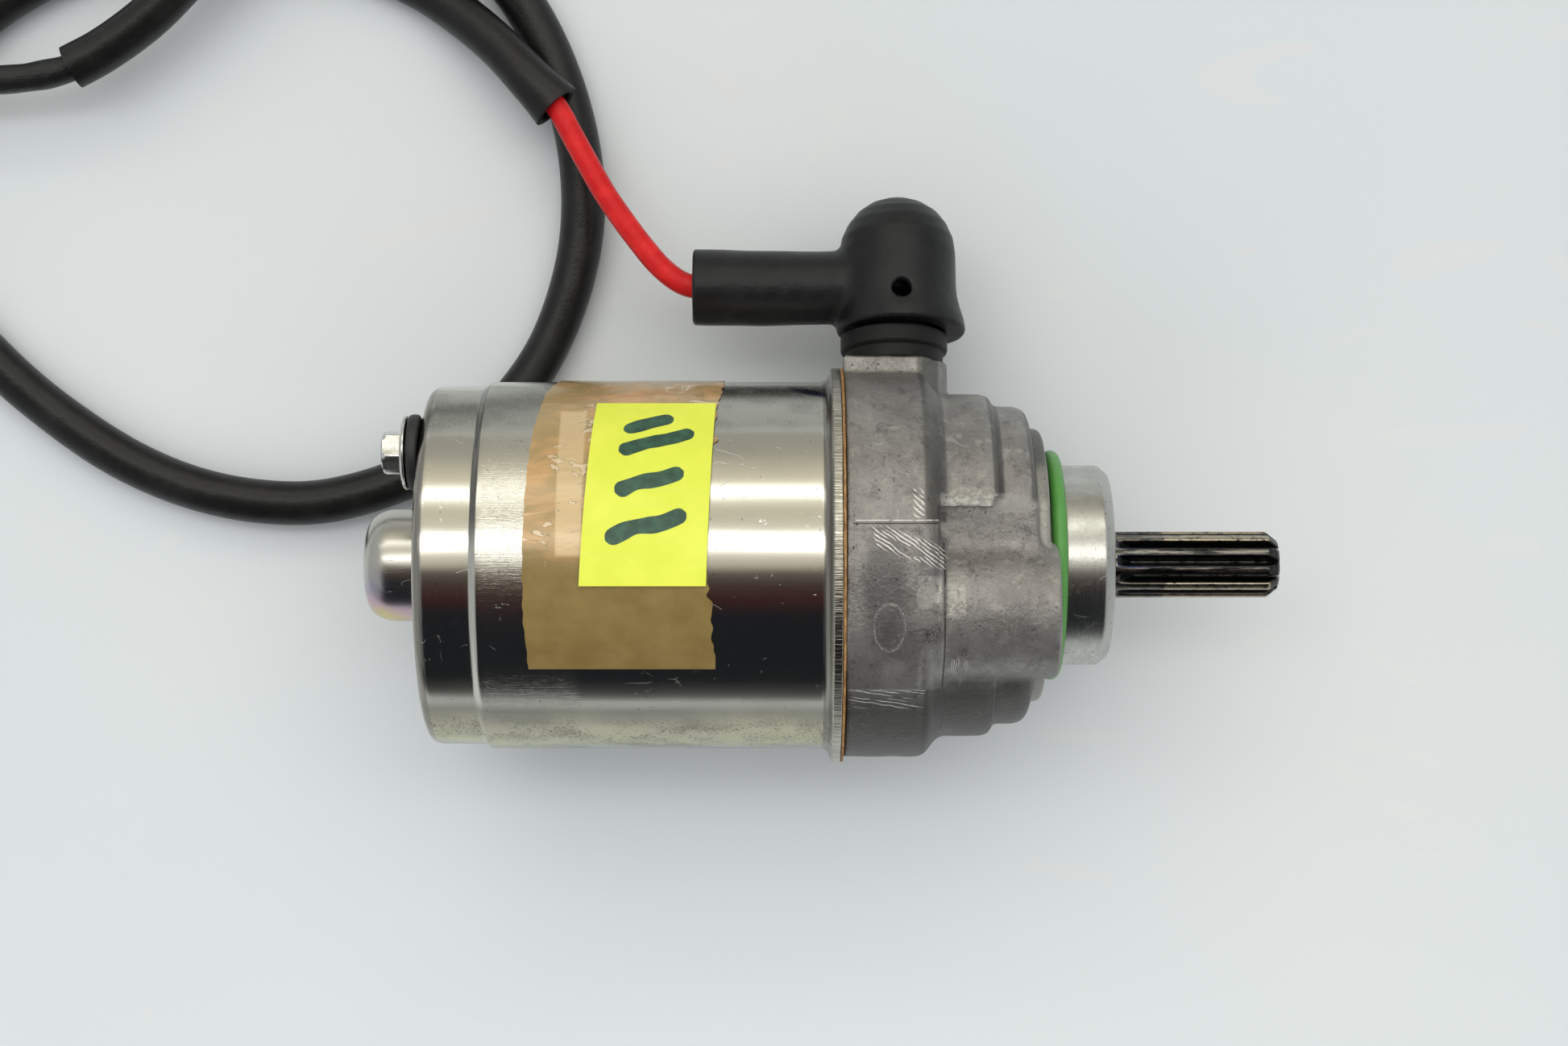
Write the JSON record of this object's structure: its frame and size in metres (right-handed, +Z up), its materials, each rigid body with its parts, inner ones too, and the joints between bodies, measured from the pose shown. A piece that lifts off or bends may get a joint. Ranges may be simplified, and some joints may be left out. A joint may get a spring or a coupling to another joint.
{
  "type": "starter motor",
  "caption": "Brushed starter motor with a plated steel case, stepped aluminium nose, toothed shaft, green O-ring, and a booted terminal with a sleeved cable loop.",
  "frame": {"origin": "centre of the shaft's end face, on the motor's axis", "axes": "+X along the motor's axis towards the shaft end, +Y towards the booted terminal, +Z up from the table it lies on"},
  "size_m": [0.302, 0.1682, 0.0711],
  "materials": {
    "case_steel": "bright zinc plate, brushed",
    "magnet_ferrite": "matt",
    "gasket_fibre": "matt",
    "cast_aluminium": "tumbled die casting",
    "green_rubber": "satin",
    "black_rubber": "satin",
    "bearing_steel": "ground",
    "sintered_bronze": "matt",
    "fibre": "matt",
    "shaft_steel": "blued and worn",
    "lamination_steel": "matt",
    "copper": "enamelled",
    "phenolic": "matt",
    "holder_brass": "satin",
    "carbon": "matt",
    "spring_steel": "satin",
    "plated_steel": "zinc plate",
    "insulator_plastic": "satin",
    "tinned_copper": "tinned",
    "red_insulation": "satin",
    "black_sleeve": "satin",
    "brown_tape": "clear brown film",
    "yellow_paper": "matt"
  },
  "bodies": {
    "stator": {"yoke_case": "case_steel", "magnet_1": "magnet_ferrite", "magnet_2": "magnet_ferrite", "magnet_3": "magnet_ferrite", "magnet_4": "magnet_ferrite", "case_gasket": "gasket_fibre", "front_housing": "cast_aluminium", "pilot_o_ring": "green_rubber", "oil_seal": "black_rubber", "bearing_outer_ring": "bearing_steel", "bearing_snap_ring": "spring_steel", "rear_bush": "sintered_bronze", "rear_fibre_washer": "fibre", "brush_plate": "phenolic", "brush_holder_1": "holder_brass", "brush_holder_2": "holder_brass", "brush_holder_3": "holder_brass", "brush_holder_4": "holder_brass", "brush_spring_1": "spring_steel", "brush_spring_2": "spring_steel", "brush_spring_3": "spring_steel", "brush_spring_4": "spring_steel", "through_bolt_1": "plated_steel", "through_bolt_2": "plated_steel", "bolt_washer_1": "plated_steel", "bolt_washer_2": "plated_steel", "bolt_seal_1": "black_rubber", "bolt_seal_2": "black_rubber", "terminal_stud": "plated_steel", "terminal_insulator": "insulator_plastic", "terminal_o_ring": "black_rubber", "terminal_washer": "plated_steel", "terminal_lower_nut": "plated_steel", "wire_lug": "tinned_copper", "terminal_upper_nut": "plated_steel", "terminal_boot": "black_rubber", "red_wire": "red_insulation", "cable_sleeve": "black_sleeve", "cable_tail": "black_sleeve", "cable_end_lug": "tinned_copper", "packing_tape": "brown_tape", "paper_note": "yellow_paper"},
    "rotor": {"armature_shaft": "shaft_steel", "armature_core": "lamination_steel", "armature_winding": "copper", "commutator": "copper", "commutator_hub": "phenolic", "bearing_inner_ring": "bearing_steel", "shaft_snap_ring": "spring_steel", "rear_steel_washer": "bearing_steel"},
    "ball_cage": {"bearing_ball_cage": "bearing_steel"},
    "brush_1_body": {"brush_1": "carbon"},
    "brush_2_body": {"brush_2": "carbon"},
    "brush_3_body": {"brush_3": "carbon"},
    "brush_4_body": {"brush_4": "carbon"}
  },
  "joints": [
    {"name": "rotor_spin", "type": "hinge", "parent": "stator", "child": "rotor", "pos_m": [0, 0, 0], "axis": [1, 0, 0], "continuous": true},
    {"name": "ball_cage_spin", "type": "hinge", "parent": "stator", "child": "ball_cage", "pos_m": [0, 0, 0], "axis": [1, 0, 0], "continuous": true},
    {"name": "brush_1_slide", "type": "slide", "parent": "stator", "child": "brush_1_body", "axis": [0, 1, 0], "range_m": [0, 0.0024], "stiffness_N_per_m": 300, "springref_m": -0.01, "deforming": ["brush_spring_1"]},
    {"name": "brush_2_slide", "type": "slide", "parent": "stator", "child": "brush_2_body", "axis": [0, 0, 1], "range_m": [0, 0.0024], "stiffness_N_per_m": 300, "springref_m": -0.01, "deforming": ["brush_spring_2"]},
    {"name": "brush_3_slide", "type": "slide", "parent": "stator", "child": "brush_3_body", "axis": [0, -1, 0], "range_m": [0, 0.0024], "stiffness_N_per_m": 300, "springref_m": -0.01, "deforming": ["brush_spring_3"]},
    {"name": "brush_4_slide", "type": "slide", "parent": "stator", "child": "brush_4_body", "axis": [0, 0, -1], "range_m": [0, 0.0024], "stiffness_N_per_m": 300, "springref_m": -0.01, "deforming": ["brush_spring_4"]}
  ],
  "couplings": [
    {"joint": "ball_cage_spin", "follows": "rotor_spin", "ratio": 0.3818}
  ]
}
